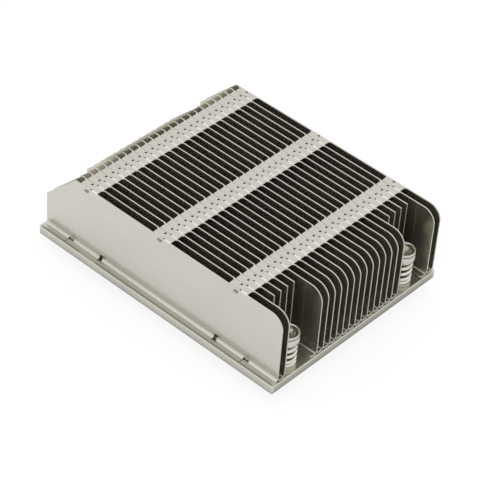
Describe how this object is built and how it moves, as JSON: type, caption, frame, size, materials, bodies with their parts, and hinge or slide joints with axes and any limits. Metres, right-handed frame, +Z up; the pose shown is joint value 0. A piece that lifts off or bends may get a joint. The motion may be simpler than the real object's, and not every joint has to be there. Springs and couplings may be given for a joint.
{
  "type": "passive server cpu heatsink",
  "caption": "Low passive heatsink: folded aluminium zipper fins on a flat base plate, with corner pockets for spring-loaded captive screws.",
  "frame": {"origin": "centre of the base plate's contact face, which is also the centre of the screw pattern", "axes": "+X along the fins towards the end with the rounded fin corners, +Y across the fins, +Z up from the processor"},
  "size_m": [0.1046, 0.0794, 0.034],
  "materials": {
    "fin_aluminium": "satin mill",
    "base_nickel": "nickel plated",
    "screw_steel": "nickel plated",
    "spring_steel": "bright wire",
    "ring_steel": "bright"
  },
  "bodies": {
    "heatsink": {"base_plate": "base_nickel", "fin_01": "fin_aluminium", "fin_02": "fin_aluminium", "fin_03": "fin_aluminium", "fin_04": "fin_aluminium", "fin_05": "fin_aluminium", "fin_06": "fin_aluminium", "fin_07": "fin_aluminium", "fin_08": "fin_aluminium", "fin_09": "fin_aluminium", "fin_10": "fin_aluminium", "fin_11": "fin_aluminium", "fin_12": "fin_aluminium", "fin_13": "fin_aluminium", "fin_14": "fin_aluminium", "fin_15": "fin_aluminium", "fin_16": "fin_aluminium", "fin_17": "fin_aluminium", "fin_18": "fin_aluminium", "fin_19": "fin_aluminium", "fin_20": "fin_aluminium", "fin_21": "fin_aluminium", "fin_22": "fin_aluminium", "fin_23": "fin_aluminium", "fin_24": "fin_aluminium", "fin_25": "fin_aluminium", "fin_26": "fin_aluminium", "spring_front_left": "spring_steel", "spring_front_right": "spring_steel", "spring_back_left": "spring_steel", "spring_back_right": "spring_steel"},
    "front_left_ring": {"ring_front_left": "ring_steel"},
    "front_left_screw": {"screw_front_left": "screw_steel"},
    "front_right_ring": {"ring_front_right": "ring_steel"},
    "front_right_screw": {"screw_front_right": "screw_steel"},
    "back_left_ring": {"ring_back_left": "ring_steel"},
    "back_left_screw": {"screw_back_left": "screw_steel"},
    "back_right_ring": {"ring_back_right": "ring_steel"},
    "back_right_screw": {"screw_back_right": "screw_steel"}
  },
  "joints": [
    {"name": "front_left_press", "type": "slide", "parent": "heatsink", "child": "front_left_ring", "axis": [0, 0, 1], "range_m": [-0.003, 0], "stiffness_N_per_m": 13000, "springref_m": 0.002, "deforming": ["spring_front_left"]},
    {"name": "front_left_turn", "type": "hinge", "parent": "front_left_ring", "child": "front_left_screw", "pos_m": [0.047, 0.028, 0], "axis": [0, 0, 1], "continuous": true},
    {"name": "front_right_press", "type": "slide", "parent": "heatsink", "child": "front_right_ring", "axis": [0, 0, 1], "range_m": [-0.003, 0], "stiffness_N_per_m": 13000, "springref_m": 0.002, "deforming": ["spring_front_right"]},
    {"name": "front_right_turn", "type": "hinge", "parent": "front_right_ring", "child": "front_right_screw", "pos_m": [0.047, -0.028, 0], "axis": [0, 0, 1], "continuous": true},
    {"name": "back_left_press", "type": "slide", "parent": "heatsink", "child": "back_left_ring", "axis": [0, 0, 1], "range_m": [-0.003, 0], "stiffness_N_per_m": 13000, "springref_m": 0.002, "deforming": ["spring_back_left"]},
    {"name": "back_left_turn", "type": "hinge", "parent": "back_left_ring", "child": "back_left_screw", "pos_m": [-0.047, 0.028, 0], "axis": [0, 0, 1], "continuous": true},
    {"name": "back_right_press", "type": "slide", "parent": "heatsink", "child": "back_right_ring", "axis": [0, 0, 1], "range_m": [-0.003, 0], "stiffness_N_per_m": 13000, "springref_m": 0.002, "deforming": ["spring_back_right"]},
    {"name": "back_right_turn", "type": "hinge", "parent": "back_right_ring", "child": "back_right_screw", "pos_m": [-0.047, -0.028, 0], "axis": [0, 0, 1], "continuous": true}
  ]
}
